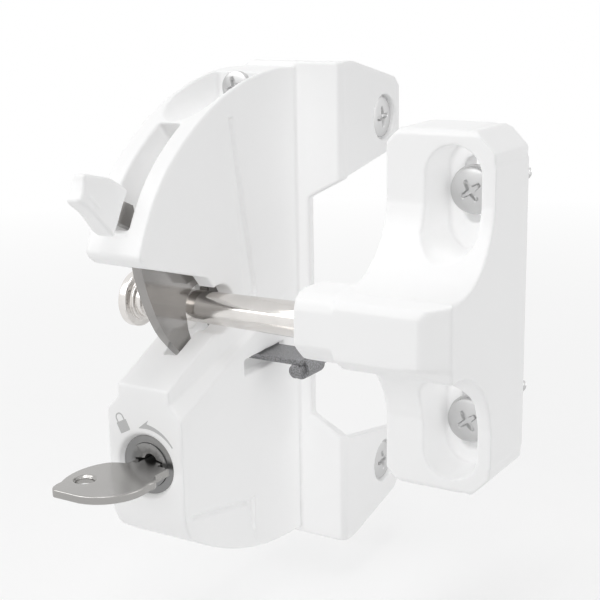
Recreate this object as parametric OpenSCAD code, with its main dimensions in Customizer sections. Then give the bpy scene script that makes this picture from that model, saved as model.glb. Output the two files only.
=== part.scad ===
// Key lockable gate latch with a round striker rod.
// Frame: +Z up, -Y to the front, +X towards the gate. Millimetres.
// The origin is the edge of the square post that the latch wraps,
// half way up the back flange. The post fills X < 0, Y > 0.

/* [Latch body] */
// height of the back flange
flange_h = 149.4; // [130:0.2:175]
// radius of the trough over the post screw
pocket_r = 7.4; // [6:0.1:7.8]
// thickness of the flange on the front of the post
flange_t = 3; // [2:0.1:4]
// gap between the side flange and the post
side_gap = 2.5; // [1:0.1:4]
// how far the ears reach along the side of the post
ear_len = 34; // [28:0.5:44]
// width of the body
body_w = 18; // [17:0.1:22]
// right hand side of the body, measured from the post edge
body_right = 10.5; // [9:0.1:14]
// reach of the nose in front of the post
nose_reach = 82; // [80:0.5:86]
// reach of the lock front
lock_reach = 70; // [67:0.5:74]
// width of the body at the lock
lock_w = 25.4; // [23:0.1:30]

// side of the moulded line under the lock
line_w = 1.2; // [0.8:0.1:1.4]

/* [Mouth and catch] */
// height of the striker rod above the origin
rod_z = 8.6; // [8:0.1:9.4]
// distance of the rod from the post face
rod_y = 44.5; // [43:0.1:46]
// radius of the round end of the mouth
mouth_r = 7; // [6.6:0.1:8]
// pivot of the catch, from the post face
pivot_y = 12.5; // [12:0.1:13.2]
// pivot of the catch, height
pivot_z = 12; // [11.4:0.1:12.6]
// radius of the pivot pin
pivot_r = 3; // [2:0.1:3.6]
// thickness of the steel catch
catch_t = 3.2; // [2.5:0.1:3.8]
// width of the slot for catch and lever
slot_w = 7; // [6.4:0.1:8]
// clearance each side of the hook in the ramp
slot_gap = 0.5; // [0.4:0.1:1]
// radius of the notch over the rod
notch_r = 6.5; // [6.1:0.1:6.7]
// clearance between the rod and its seat on the catch
rod_seat = 0.7; // [0.6:0.05:1.5]
// travel of the catch, degrees
lift_deg = 25; // [15:1:25]
// thickness of the finger lever
lever_t = 5; // [4:0.1:5.4]

/* [Lock] */
// height of the lock axis below the origin
lock_z = 31.3; // [30:0.1:33]
// outer radius of the lock shell
shell_r = 8.4; // [7.6:0.1:9]
// radius of the turning plug
plug_r = 6.3; // [5.6:0.1:6.8]
// thickness of the key
key_t = 2.2; // [1.6:0.1:2.4]
// width of the key bow
bow_w = 23; // [18:0.5:26]
// turning radius of the cam pin
cam_r = 6; // [5:0.1:6.4]

// width of the funnel around the keyway
dish_r = 5.9; // [4.5:0.1:6.1]

/* [Release] */
// travel of the release plate
rel_travel = 8.5; // [5:0.1:8.8]
// radius of the release rod
rel_rod_r = 2; // [1.5:0.1:2.4]
// length of the release rod
rel_rod_len = 67; // [50:1:90]

/* [Striker] */
// left hand side of the striker body
strike_x = 30.5; // [28:0.5:34]
// width of the striker body
strike_w = 32; // [30:0.5:36]
// height of the striker body
strike_h = 101.6; // [96:0.2:110]
// depth of the striker body above the gate
strike_d = 23; // [21:0.2:25]
// left end of the boss that holds the rod
boss_x = 18.5; // [16:0.5:22]
// radius of the rod at the head end
rod_r = 4.35; // [4:0.05:4.5]
// radius of the rod in the boss
rod_r2 = 5; // [4.5:0.05:5.2]
// radius of the rod head
head_r = 8.2; // [7.2:0.1:9]
// radius of the screw slots
recess_r = 8; // [7.4:0.1:8.6]
// width of the screw slot in the ledge
screw_slot = 6.4; // [5.6:0.1:7]

/* [Screws] */
// radius of the post and gate screws
screw_r = 2.4; // [2:0.1:2.6]
// length of the post screws in the wood
screw_len = 30; // [20:1:45]
// radius of the ear screw heads
ear_head_r = 6.2; // [5:0.1:6.6]
// radius of the gate screw heads
gate_head_r = 6.3; // [5:0.1:6.8]

/* [Fit] */
// running clearance of pins, each side
run = 0.1; // [0.05:0.01:0.2]
// clearance of pressed pieces, each side
press = 0.02; // [0.01:0.01:0.05]

/* [Hidden] */
$fn = 64;
x1 = -body_right;
x0 = x1 - body_w;
xm = (x0 + x1) / 2;
s0 = xm - slot_w / 2;
s1 = xm + slot_w / 2;
k0 = xm - catch_t / 2;
k1 = xm + catch_t / 2;
fh = flange_h / 2;
sx = side_gap + flange_t;
ear_y = ear_len - 10;
ear_z = fh - 18.4;
ny = -nose_reach;
ly = -lock_reach;
rz = rod_z;
ry = -rod_y;
py = -pivot_y;
pz = pivot_z;
lz = -lock_z;
lx = xm + 0.1;
w0 = lx - lock_w / 2;
w1 = lx + lock_w / 2;
gx = strike_x;
gx1 = strike_x + strike_w;
gm = gx + strike_w * 0.62;
bz = rz - 0.1;
seat_r = norm([ry - py, rz - pz]) - rod_r - rod_seat;
heel_r = rel_travel / (2 * sin(lift_deg / 2));
heel_y = py + heel_r * sin(lift_deg / 2);
heel_z = pz - heel_r * cos(lift_deg / 2);
plate_t = 1.6;
plate_z = -9.1;
rel_z = plate_z - 3.3;
rel_x = sx - 2.5;
cam_y = -33.6;
grow = (strike_h - 101.6) / 2;
screw_z = 33 + grow;
post_z = fh - 6.7;
blade = lock_reach - 43.4;
gate_y = -8;

function pp(r, a) = [py + r * cos(a), pz + r * sin(a)];

// X of the gate side wall of the lower block, at depth y
function wall_x(y) = w1 + (x1 - 0.2 - w1) * (y - ly) / (-3 - ly);

// extrudes a (Y, Z) outline along X
module yz(a, b) {
  translate([a, 0, 0])
    rotate([90, 0, 90])
      linear_extrude(b - a)
        children();
}

// extrudes an (X, Z) outline along Y, from a (front) to b (back)
module xz(a, b) {
  translate([0, b, 0])
    rotate([90, 0, 0])
      linear_extrude(b - a)
        children();
}

module cyl_x(r, a, b, y, z) {
  translate([a, y, z])
    rotate([0, 90, 0])
      cylinder(h = b - a, r = r);
}

module cyl_y(r, a, b, x, z) {
  translate([x, b, z])
    rotate([90, 0, 0])
      cylinder(h = b - a, r = r);
}

// square bar from p to q, standing on its edge
module bar(p, q, side) {
  v = q - p;
  translate(p)
    rotate([0, acos(v[2] / norm(v)), atan2(v[1], v[0])])
      rotate(45)
        translate([-side / 2, -side / 2, 0])
          cube([side, side, norm(v)]);
}

module box(a, b) {
  translate(a)
    cube([b[0] - a[0], b[1] - a[1], b[2] - a[2]]);
}

// side view of the upper quadrant: two tangent arcs
module quadrant() {
  c2 = [ny + 51.9, 13.8];
  c1 = [c2[0] + 21.92, c2[1] - 28.05];
  u = [cos(128), sin(128)];
  intersection() {
    translate(c1)
      circle(r = 87.5, $fn = 360);
    polygon([c2, c2 + 70 * u, [-30, 90], [0, 90], [0, -20], [c2[0], -20]]);
  }
  intersection() {
    translate(c2)
      circle(r = 51.9, $fn = 240);
    polygon([c2, c2 + 70 * u, [-100, 80], [-100, 10], [-46, 10], [-46, -20],
      [c2[0], -20]]);
  }
}

// side view of the lower block
module lower_side() {
  intersection() {
    translate([1.7, 49.5])
      circle(r = 122.2, $fn = 360);
    union() {
      translate([ly, lz - 10.7])
        square([-ly, 80]);
      translate([ly + 7.9, -80])
        square([-ly - 7.9, 100]);
      translate([ly + 16, lz - 10.7])
        circle(r = 16, $fn = 96);
    }
  }
}

// side view of the mouth between the nose and the ramp
module mouth() {
  polygon([[-110, 30.5], [ny + 2.1, 30.5], [ny + 3.1, 28.2], [ny + 5.6, 26.3],
    [ry - 5.7, 18.7], [ry - 2.6, rz + 6.5], [ry + 1, rz - 5],
    [ry - 2.6, rz - 6.5], [ly, -8.7], [ly - 40, -26.7]]);
  translate([ry, rz])
    circle(r = mouth_r);
}

module wide_block() {
  difference() {
    intersection() {
      yz(-40, 0)
        lower_side();
      translate([0, 0, -90])
        linear_extrude(120)
          polygon([[w0, ly], [w1, ly], [x1 - 0.2, -3], [x1 - 0.2, 0],
            [x0 + 0.2, 0], [x0 + 0.2, -3]]);
    }
    translate([x1, ly, -12.6])
      rotate([17.1, 0, 0])
        rotate([0, 45, 0])
          translate([-60, -20, 0])
            cube([120, 140, 60]);
    translate([x0, ly, -12.6])
      rotate([17.1, 0, 0])
        rotate([0, -45, 0])
          translate([-60, -20, 0])
            cube([120, 140, 60]);
  }
}

module ear_side(s) {
  yz(side_gap, sx)
    polygon([[-flange_t, s * fh], [4, s * fh], [ear_len - 3, s * (fh - 6.4)],
      [ear_len, s * (fh - 9.4)], [ear_len, s * 46.8], [-flange_t, s * 40.3]]);
  cyl_x(9, 0, side_gap + 0.5, ear_y, s * ear_z);
}

module flange_front() {
  xz(-flange_t, 0)
    difference() {
      polygon([[x0, -fh], [sx, -fh], [sx, fh], [x0 + 2.4, fh], [x0, fh - 2]]);
      polygon([[-6.2, -34.2], [sx + 1, -40.9], [sx + 1, 40.9], [-6.2, 34.2]]);
    }
}

// free space for the catch between the side walls
module catch_space() {
  polygon([pp(100, 129.6), pp(100, 160.4), pp(62.7, 160.4), [-71.5, 6],
    [-37, 6], [-37, -13.9], [-3.2, -13.9],
    [-3.2, 22], [-8, 25], pp(15, 108), pp(25, 122.6), pp(46, 127),
    pp(60, 129.2)]);
}

// trough for the post screw, its floor falling to the back
module pocket() {
  intersection() {
    translate([xm, -20, post_z - 1.1])
      rotate([86.5, 0, 0])
        translate([0, 0, -5])
          linear_extrude(70) {
            circle(r = pocket_r);
            translate([-pocket_r, 0])
              square([2 * pocket_r, 50]);
          }
    box([-40, -90, post_z - 18], [0, -19, post_z + 42]);
  }
}

module latch_housing() {
  color([0.93, 0.94, 0.94])
    difference() {
      union() {
        yz(x0, x1)
          quadrant();
        yz(x0 + 0.4, x1 - 0.1)
          lower_side();
        wide_block();
        flange_front();
        ear_side(1);
        ear_side(-1);
      }
      yz(-45, 5)
        mouth();
      yz(s0, s1)
        catch_space();
      // close slot in the ramp for the tip of the hook
      box([k0 - slot_gap, -57.1, -8], [k1 + slot_gap, -36.9, 6.1]);
      pocket();
      cyl_y(screw_r + run, -20, 1, xm, post_z);
      // spring well and pivot bore, blind on the gate side
      cyl_x(9, x0 + 1.6, s0 + 0.1, py, pz);
      cyl_x(pivot_r + press, x0 - 1, x1 - 1.6, py, pz);
      cyl_x(5.2, x0 - 1, x0 + 1, py, pz);
      // lock bore with a bevel, and the chamber behind it
      cyl_y(shell_r + press, ly - 1, -39, lx, lz);
      translate([lx, ly - 0.01, lz])
        rotate([-90, 0, 0])
          cylinder(h = 1.5, r1 = shell_r + 1.1, r2 = shell_r);
      box([lx - 8.8, -39.1, lz - 12], [lx + 8.8, -27.5, lz + 9.4]);
      box([lx - 7, -28, lz - 12], [lx + 7, -2.7, lz + 9.4]);
      box([lx + 1.3, -32.2, lz + 9], [lx + 5.1, -28.4, -13.8]);
      // release chamber and the slot in the gate side wall
      box([s1 - 2.2, -35.9, -13.9], [x1 - 1.8, -3, -3.5]);
      box([x1 - 2, -35.9, -13.2], [-1, -12, -8.5]);
      // grub screw that holds the lock shell
      cyl_x(2 + press, -40, lx - 7, -55, lz);
      // recess for the back cover and its four screws
      box([x0 + 1.2, -2.8, -48], [x1 - 1.2, 1, 31]);
      for (x = [x0 + 3.6, x1 - 3.6])
        for (z = [-45.6, 28.4])
          cyl_y(1.2 + press, -11, 0, x, z);
      for (s = [-1, 1]) {
        cyl_x(screw_r + run, -1, 10, ear_y, s * ear_z);
        cyl_x(7, 2.9, 10, ear_y, s * ear_z);
      }
      // moulded lines on the gate side wall
      yz(x1 - 0.7, x1 + 1)
        polygon([[-38.3, 61.4], [-35.9, 61.4], [-26, 9.5], [-32.3, 11]]);
      yz(x1 - 0.2, x1 + 6)
        polygon([[-36, -52.4], [-32, -51.4], [-32.1, -66]]);
      bar([wall_x(-67.5) + 0.35, -67.5, -45.2],
        [wall_x(-34.5) + 0.35, -34.5, -52.2], line_w);
      // softened outer edge of the flange
      translate([sx, -flange_t, 0])
        rotate([0, 0, 45])
          cube([2, 2, 200], center = true);
    }
}

module back_cover() {
  color([0.9, 0.9, 0.9])
    difference() {
      box([x0 + 1.4, -2.6, -47.8], [x1 - 1.4, -0.2, 30.8]);
      for (x = [x0 + 3.6, x1 - 3.6])
        for (z = [-45.6, 28.4]) {
          cyl_y(1.2 + run, -5, 1, x, z);
          cyl_y(2.1 + run, -1.4, 1, x, z);
        }
    }
}

module cover_screw(x, z) {
  color([0.7, 0.7, 0.72])
    difference() {
      union() {
        cyl_y(1.2, -10, -0.4, x, z);
        cyl_y(2.1, -1.3, -0.4, x, z);
      }
      box([x - 1.2, -0.8, z - 0.25], [x + 1.2, 0, z + 0.25]);
      box([x - 0.25, -0.8, z - 1.2], [x + 0.25, 0, z + 1.2]);
    }
}

module cover_screw_ul() { cover_screw(x0 + 3.6, 28.4); }
module cover_screw_ur() { cover_screw(x1 - 3.6, 28.4); }
module cover_screw_ll() { cover_screw(x0 + 3.6, -45.6); }
module cover_screw_lr() { cover_screw(x1 - 3.6, -45.6); }

module pivot_pin() {
  color([0.75, 0.76, 0.78]) {
    cyl_x(pivot_r, x0 + 0.2, x1 - 1.8, py, pz);
    cyl_x(5, x0 + 0.1, x0 + 0.9, py, pz);
  }
}

// steel plate: arm to the lever, hook over the rod, tail to the release
module catch_plate() {
  color([0.55, 0.55, 0.57])
    difference() {
      yz(k0, k1)
        difference() {
          union() {
            polygon([pp(76, 158.1), pp(61.8, 158.9), [-70.3, 28],
              [-69.9, 24.3], [-69.3, 21.6], [-68.4, 18.8], [-67.3, 15.9],
              [-65.9, 13], [-64.6, 10.2], [-63, 7.5], [-61.3, 4.8],
              [-59.2, 2.2], [-56.6, -0.4], [-53.7, -3.1], [-51.8, -4.6],
              [-49.6, -4.4], [-48.4, -2.6], [-48.9, 0], [-50.1, rz - 5.6],
              [-50.6, rz - 2.6], [ry + 3, rz], [-38.5, rz - 4],
              [-36.2, 0.5], [-30, 1], [-20, 0.5], [py - 1, pz - 6],
              [py + 5, pz - 2], pp(6, 60), pp(7, 120), pp(14, 140),
              pp(24, 150), pp(44, 153), pp(64.6, 155.6), pp(66.6, 153.5),
              pp(76, 153.9)]);
            translate([py, pz])
              circle(r = 8);
            polygon([[heel_y - 2.7, heel_z], [heel_y + 2.7, heel_z],
              [py + 6, pz - 3], [py - 6, pz - 3]]);
            translate([heel_y, heel_z])
              circle(r = 2.9);
          }
          difference() {
            translate([ry, rz])
              circle(r = notch_r);
            translate([py, pz])
              circle(r = seat_r, $fn = 180);
          }
        }
      cyl_x(pivot_r + run, k0 - 1, k1 + 1, py, pz);
      cyl_x(1.5 + press, k0 - 1, k1 + 1, heel_y, heel_z);
      for (r = [70, 74])
        translate([0, pp(r, 156)[0], pp(r, 156)[1]])
          rotate([0, 90, 0])
            cylinder(h = 80, r = 0.9 + press, center = true);
      cyl_x(0.5 + press, k0 - 1, k0 + 1.6, py - 6.6, pz);
    }
}

module heel_pin() {
  color([0.75, 0.76, 0.78])
    cyl_x(1.5, k0 + 0.2, k1 + 3.4, heel_y, heel_z);
}

module ring_x(ro, ri, a, b) {
  difference() {
    cyl_x(ro, a, b, py, pz);
    cyl_x(ri, a - 1, b + 1, py, pz);
  }
}

module spacer_left() {
  color([0.25, 0.25, 0.26])
    ring_x(4.2, pivot_r + run, s0 + 0.12, k0 - 0.1);
}

module spacer_right() {
  color([0.25, 0.25, 0.26])
    ring_x(6, pivot_r + run, k1 + 0.1, s1 - 0.12);
}

// closed coils, one leg in the catch and one in the well
module return_spring() {
  color([0.7, 0.71, 0.73]) {
    translate([s0 - 0.7, py, pz])
      rotate([0, -90, 0])
        rotate_extrude()
          translate([5.6, -0.5])
            square([1, 3]);
    cyl_x(0.5, s0 - 0.7, k0 + 1.5, py - 6.6, pz);
    translate([s0 - 2.74, py + 6.1, pz])
      rotate([-12, 0, 0])
        cylinder(h = 2.5, r = 0.5);
  }
}

// moulded finger lever around the end of the arm
module finger_lever() {
  color([0.93, 0.94, 0.94])
    difference() {
      union() {
        yz(xm - lever_t / 2, xm + lever_t / 2)
          polygon([[-91.5, 45.6], [-90.9, 43.8], [-88.6, 41.6], [-86.6, 38.8],
            [-84.9, 36.9], [-82.4, 36], pp(71.6, 160.9), pp(68.6, 159.2),
            pp(66.9, 158.9), pp(66.9, 151.4), pp(72, 151.2), [-77.6, 49.2],
            [-80.2, 50.2], [-84, 51.2], [-87.9, 52]]);
      }
      yz(k0 - press, k1 + press)
        polygon([pp(76.3, 158.3), pp(76.3, 153.7), pp(60, 153.2),
          pp(60, 159.2)]);
      for (r = [70, 74])
        translate([0, pp(r, 156)[0], pp(r, 156)[1]])
          rotate([0, 90, 0])
            cylinder(h = 80, r = 0.9 + press, center = true);
    }
}

module lever_rivet(r) {
  color([0.75, 0.76, 0.78])
    cyl_x(0.9, xm - lever_t / 2 + 0.1, xm + lever_t / 2 - 0.1,
      pp(r, 156)[0], pp(r, 156)[1]);
}

module lever_rivet_front() { lever_rivet(74); }
module lever_rivet_rear() { lever_rivet(70); }

module lock_shell() {
  color([0.45, 0.45, 0.47])
    difference() {
      cyl_y(shell_r, ly + 1.4, -39, lx, lz);
      cyl_y(plug_r + run, ly, -38, lx, lz);
      cyl_x(2 + press, lx - 9, lx - 7, -55, lz);
    }
}

module lock_grub() {
  color([0.4, 0.4, 0.42])
    difference() {
      cyl_x(2, lx - 11.6, lx - 7.1, -55, lz);
      cyl_x(1, lx - 12, lx - 9.8, -55, lz);
    }
}

module lock_plug() {
  color([0.5, 0.5, 0.52])
    difference() {
      union() {
        cyl_y(plug_r, ly + 1, -36.6, lx, lz);
        cyl_y(2.4, -36.7, cam_y + 0.3, lx, lz);
      }
      box([lx - 4.6, ly - 1, lz - 1.4], [lx + 4.6, -41, lz + 1.4]);
      cyl_y(2, ly - 1, -46, lx, lz + 1);
      translate([lx, ly + 0.99, lz])
        rotate([-90, 0, 0])
          cylinder(h = 1.6, r1 = dish_r, r2 = 1.2);
      cyl_y(0.9 + press, -38.5, -33, lx, lz);
    }
}

module lock_cam() {
  color([0.62, 0.6, 0.5])
    difference() {
      union() {
        cyl_y(7.9, -36.4, cam_y, lx, lz);
        cyl_y(1.6, cam_y - 0.1, -28.6,
          lx + cam_r * cos(45), lz - cam_r * sin(45));
      }
      cyl_y(2.4 + press, -37, -33, lx, lz);
    }
}

module cam_screw() {
  color([0.7, 0.7, 0.72])
    difference() {
      union() {
        cyl_y(0.9, -38.3, -33, lx, lz);
        cyl_y(3.2, cam_y + 0.32, -32.2, lx, lz);
      }
      box([lx - 2.4, -32.7, lz - 0.4], [lx + 2.4, -32, lz + 0.4]);
    }
}

// leaf shaped bow, shoulder on the right, blade with five cuts
module key_outline() {
  b = bow_w / 2 - 11.5;
  difference() {
    union() {
      translate([lx - 7.7 - b, ly - 14.5])
        circle(r = 5);
      translate([lx - 8.2 - b, ly - 23.6])
        circle(r = 4);
      translate([lx - 1.8, ly - 15])
        circle(r = 12.6 + b, $fn = 96);
      translate([lx + 7.8 + b, ly - 10.5])
        circle(r = 3);
      polygon([[lx - 12.68 - b, ly - 14.5], [lx - 12.18 - b, ly - 23.6],
        [lx - 8.2 - b, ly - 27.58], [lx - 1.8, ly - 27.58 - b],
        [lx + 2, ly - 15], [lx + 10.78 + b, ly - 10.5],
        [lx + 10.1 + b, ly - 8.7], [lx + 8.6, ly - 7], [lx + 8.6, ly - 0.6],
        [lx + 4.3, ly - 0.4], [lx + 4.3, ly + blade - 2.6],
        [lx + 1.7, ly + blade], [lx - 1.7, ly + blade],
        [lx - 4.3, ly + blade - 2.6], [lx - 4.3, ly - 2.4],
        [lx - 10.9 - b, ly - 10.7]]);
    }
    translate([lx - 6.6, ly - 17.8])
      circle(r = 2.5);
    for (i = [0:4])
      translate([lx + 4.4, ly + 4.5 + (blade - 6.1) / 5 * i])
        rotate(45)
          square(1.2 + 0.5 * (i % 3), center = true);
  }
}

module key() {
  color([0.72, 0.72, 0.73])
    difference() {
      translate([0, 0, lz - key_t / 2])
        linear_extrude(key_t)
          key_outline();
      box([lx - 3.6, ly - 1, lz + key_t / 2 - 0.5],
        [lx - 2.2, ly + 30, lz + key_t / 2 + 1]);
      box([lx + 0.4, ly - 1, lz - key_t / 2 - 1],
        [lx + 1.8, ly + 30, lz - key_t / 2 + 0.5]);
      // stepped eye for the ring
      translate([lx - 6.6, ly - 17.8, lz + key_t / 2 - 0.5])
        cylinder(h = 2, r = 3.1);
    }
}

// slides up and down; the cam pin runs in its cross slot
module lock_bar() {
  color([0.6, 0.6, 0.62])
    difference() {
      union() {
        box([lx + 1.6, -31.9, lz], [lx + 4.8, -28.7, plate_z - 10.4]);
        box([lx - 4.5, -31.9, lz - 8.6], [lx + 8.4, -28.7, lz + 0.4]);
      }
      box([lx + 2.3, -33, lz - cam_r * sin(45) - 1.95],
        [lx + 7.95, -28, lz - cam_r * sin(45) + 1.95]);
    }
}

// plate through the side slot, an eye for the rod, a fork for the heel pin
module release_plate() {
  color([0.35, 0.35, 0.36])
    difference() {
      union() {
        box([s1 - 1.2, -26.6, plate_z - plate_t], [rel_x + 1.6, -14, plate_z]);
        box([s1 - 1.2, -15, plate_z - 2.5], [s1 + 2.4, -3.6, plate_z - 0.5]);
        box([s1 - 1.2, heel_y - 4.4, plate_z - 1.5],
          [s1 + 1.6, heel_y - 1.7, -4]);
        box([s1 - 1.2, heel_y + 1.7, plate_z - 1.5],
          [s1 + 1.6, heel_y + 4.2, -4]);
        cyl_y(rel_rod_r + 1.1, -24.6, -15.4, rel_x, rel_z);
      }
      cyl_y(rel_rod_r + press, -28, -12, rel_x, rel_z);
    }
}

module release_rod() {
  color([0.4, 0.4, 0.41]) {
    cyl_y(rel_rod_r, -27.6, -14.4, rel_x, rel_z);
    // turned down behind the eye, with an undercut at the shoulder
    cyl_y(rel_rod_r - 0.7, -14.5, -13.8, rel_x, rel_z);
    cyl_y(rel_rod_r - 0.4, -13.9, rel_rod_len - 27.6, rel_x, rel_z);
  }
}

module cross_y(x, y, z, l) {
  box([x - l, y - 1, z - 0.6], [x + l, y + 1.3, z + 0.6]);
  box([x - 0.6, y - 1, z - l], [x + 0.6, y + 1.3, z + l]);
}

module post_screw() {
  color([0.78, 0.78, 0.8])
    difference() {
      union() {
        cyl_y(screw_r - 0.2, -19.4, 0.5, xm, post_z);
        cyl_y(screw_r, 0.3, screw_len, xm, post_z);
        cyl_y(4.7, -21.4, -19.1, xm, post_z);
      }
      cross_y(xm, -21.4, post_z, 2.6);
    }
}

module ear_screw(z) {
  color([0.78, 0.78, 0.8])
    difference() {
      union() {
        cyl_x(screw_r - 0.2, -0.5, 3.2, ear_y, z);
        cyl_x(screw_r, -screw_len, -0.3, ear_y, z);
        cyl_x(ear_head_r, 3, 4.9, ear_y, z);
      }
      box([3.8, ear_y - 3.4, z - 0.6], [6, ear_y + 3.4, z + 0.6]);
      box([3.8, ear_y - 0.6, z - 3.4], [6, ear_y + 0.6, z + 3.4]);
    }
}

module ear_screw_upper() { ear_screw(ear_z); }
module ear_screw_lower() { ear_screw(-ear_z); }

// side view of the striker: plate, concave flares and boss
module strike_side() {
  h = strike_h / 2;
  d = -strike_d;
  difference() {
    translate([0, bz])
      polygon([[0, -h + 6], [d * 0.75, -h], [d + 1.4, -h], [d, -h + 1.4],
        [d, -30 - grow], [-53, -7.2], [-53, 6.6], [-52, 9], [-49, 10.2],
        [d, 30 + grow],
        [d, h - 1.4], [d + 1.4, h], [-2, h], [0, h - 1.2]]);
    for (s = [-1, 1])
      translate([d - 23, bz + s * (33.4 + grow)])
        circle(r = 23, $fn = 180);
  }
}

module strike_slot(s) {
  z0 = bz + s * (24 + grow);
  z1 = bz + s * (38.6 + grow);
  // wide recess from the front down to the ledge
  xz(-80, gate_y)
    union() {
      translate([gm, z0])
        circle(r = recess_r);
      translate([gm, z1])
        circle(r = recess_r);
      translate([gm - recess_r, min(z0, z1)])
        square([2 * recess_r, abs(z1 - z0)]);
    }
  // narrow slot through the ledge
  xz(-20, 5)
    union() {
      translate([gm, bz + s * (27 + grow)])
        circle(r = screw_slot / 2);
      translate([gm, bz + s * (39 + grow)])
        circle(r = screw_slot / 2);
      translate([gm - screw_slot / 2,
        bz + min(s * (27 + grow), s * (39 + grow))])
        square([screw_slot, 12]);
    }
}

module striker_bracket() {
  color([0.93, 0.94, 0.94])
    difference() {
      union() {
        yz(gx, gx1)
          strike_side();
        // boss that reaches out to hold the rod
        yz(boss_x, gx + 1)
          translate([0, bz])
            polygon([[-53, -4.4], [-53, 5.4], [-52.2, 7.9], [-50, 9.6],
              [-47.4, 10.1], [-38, 10.1], [-35.4, 8], [-35.4, -8],
              [-38, -10.1], [-46, -10.1], [-48.4, -9.2], [-51.6, -6.4]]);
      }
      strike_slot(1);
      strike_slot(-1);
      // corner cuts on the far side
      for (s = [-1, 1])
        translate([gx1, 0, bz + s * strike_h / 2])
          rotate([0, 45, 0])
            cube([13, 120, 13], center = true);
      for (s = [-1, 1])
        translate([gx, 0, bz + s * strike_h / 2])
          rotate([0, 45, 0])
            cube([5.4, 120, 5.4], center = true);
      // bevel at the gate end of the boss
      translate([48.6, -53, bz])
        rotate([0, 0, 17])
          translate([-0.01, -20, -24])
            cube([40, 20, 48]);
      cyl_x(rod_r2 + press, boss_x - 1, gx1 - 6, ry, rz);
      translate([gx + 6, ry, rz - 14])
        cylinder(h = 14, r = 2 + press);
    }
}

module striker_rod() {
  color([0.85, 0.84, 0.82])
    difference() {
      union() {
        translate([-35.2, ry, rz])
          rotate([0, 90, 0])
            cylinder(h = boss_x + 35.2, r1 = rod_r, r2 = rod_r2);
        cyl_x(rod_r2, boss_x, gx1 - 6.4, ry, rz);
        cyl_x(5.2, -36.9, -35.1, ry, rz);
        cyl_x(6.2, -38.1, -36.8, ry, rz);
        cyl_x(head_r, -40.4, -38, ry, rz);
        translate([-42.2, ry, rz])
          rotate([0, 90, 0])
            cylinder(h = 1.9, r1 = head_r - 2.4, r2 = head_r);
      }
      translate([gx + 6, ry, rz - 8])
        cylinder(h = 4.2, r = 2 + press);
    }
}

module rod_grub() {
  color([0.4, 0.4, 0.42])
    difference() {
      translate([gx + 6, ry, rz - 9.6])
        cylinder(h = 5.7, r = 2);
      translate([gx + 6, ry, rz - 10])
        cylinder(h = 2.4, r = 1);
    }
}

module striker_screw(s) {
  z = bz + s * screw_z;
  color([0.78, 0.78, 0.8])
    difference() {
      union() {
        cyl_y(screw_r - 0.2, gate_y - 1.6, 0.5, gm, z);
        cyl_y(screw_r, 0.3, screw_len, gm, z);
        cyl_y(gate_head_r, gate_y - 3.8, gate_y - 1.1, gm, z);
      }
      cross_y(gm, gate_y - 3.8, z, 3.6);
    }
}

module striker_washer(s) {
  z = bz + s * screw_z;
  color([0.7, 0.7, 0.72])
    difference() {
      cyl_y(gate_head_r + 0.6, gate_y - 1.08, gate_y - 0.02, gm, z);
      cyl_y(screw_r + run, gate_y - 3, gate_y + 2, gm, z);
    }
}

module striker_screw_upper() { striker_screw(1); }
module striker_screw_lower() { striker_screw(-1); }
module striker_washer_upper() { striker_washer(1); }
module striker_washer_lower() { striker_washer(-1); }

latch_housing();
back_cover();
cover_screw_ul();
cover_screw_ur();
cover_screw_ll();
cover_screw_lr();
pivot_pin();
catch_plate();
heel_pin();
spacer_left();
spacer_right();
return_spring();
finger_lever();
lever_rivet_front();
lever_rivet_rear();
lock_shell();
lock_grub();
lock_plug();
lock_cam();
cam_screw();
key();
lock_bar();
release_plate();
release_rod();
post_screw();
ear_screw_upper();
ear_screw_lower();
striker_bracket();
striker_rod();
rod_grub();
striker_screw_upper();
striker_screw_lower();
striker_washer_upper();
striker_washer_lower();
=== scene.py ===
import bpy
import bmesh
import numpy as np
from math import radians, pi
from mathutils import Matrix, Vector


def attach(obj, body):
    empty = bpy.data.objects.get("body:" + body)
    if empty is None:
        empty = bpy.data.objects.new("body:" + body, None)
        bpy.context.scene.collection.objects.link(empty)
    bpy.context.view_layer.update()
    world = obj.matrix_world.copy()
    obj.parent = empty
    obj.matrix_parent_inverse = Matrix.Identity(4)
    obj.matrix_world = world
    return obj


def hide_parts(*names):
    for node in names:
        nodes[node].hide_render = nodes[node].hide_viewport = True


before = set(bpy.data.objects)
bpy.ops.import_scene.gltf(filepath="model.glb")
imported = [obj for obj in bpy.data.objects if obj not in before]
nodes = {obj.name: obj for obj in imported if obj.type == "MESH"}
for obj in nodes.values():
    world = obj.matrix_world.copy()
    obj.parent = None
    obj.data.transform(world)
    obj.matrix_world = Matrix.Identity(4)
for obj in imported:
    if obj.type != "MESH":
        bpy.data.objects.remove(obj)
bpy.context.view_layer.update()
mm = 0.001
print("loaded", len(nodes), "pieces")

cameraView = {
    "place": (193.05, -335.41, 97.86),      # mm from the edge of the post
    "right": (0.85554, 0.51749, -0.01580),
    "up": (-0.11034, 0.21206, 0.97100),
    "ahead": (-0.50583, 0.82899, -0.23853),
    "lens": 78.18,
}


def setCamera(v):
    data = bpy.data.cameras.new("camera")
    data.lens = v["lens"]
    data.sensor_width = 36
    data.clip_start = 0.01
    data.clip_end = 200
    cam = bpy.data.objects.new("camera", data)
    bpy.context.collection.objects.link(cam)
    r, u, f = v["right"], v["up"], v["ahead"]
    p = [c * mm for c in v["place"]]
    cam.matrix_world = Matrix((
        (r[0], u[0], -f[0], p[0]),
        (r[1], u[1], -f[1], p[1]),
        (r[2], u[2], -f[2], p[2]),
        (0, 0, 0, 1)))
    bpy.context.scene.camera = cam


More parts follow.
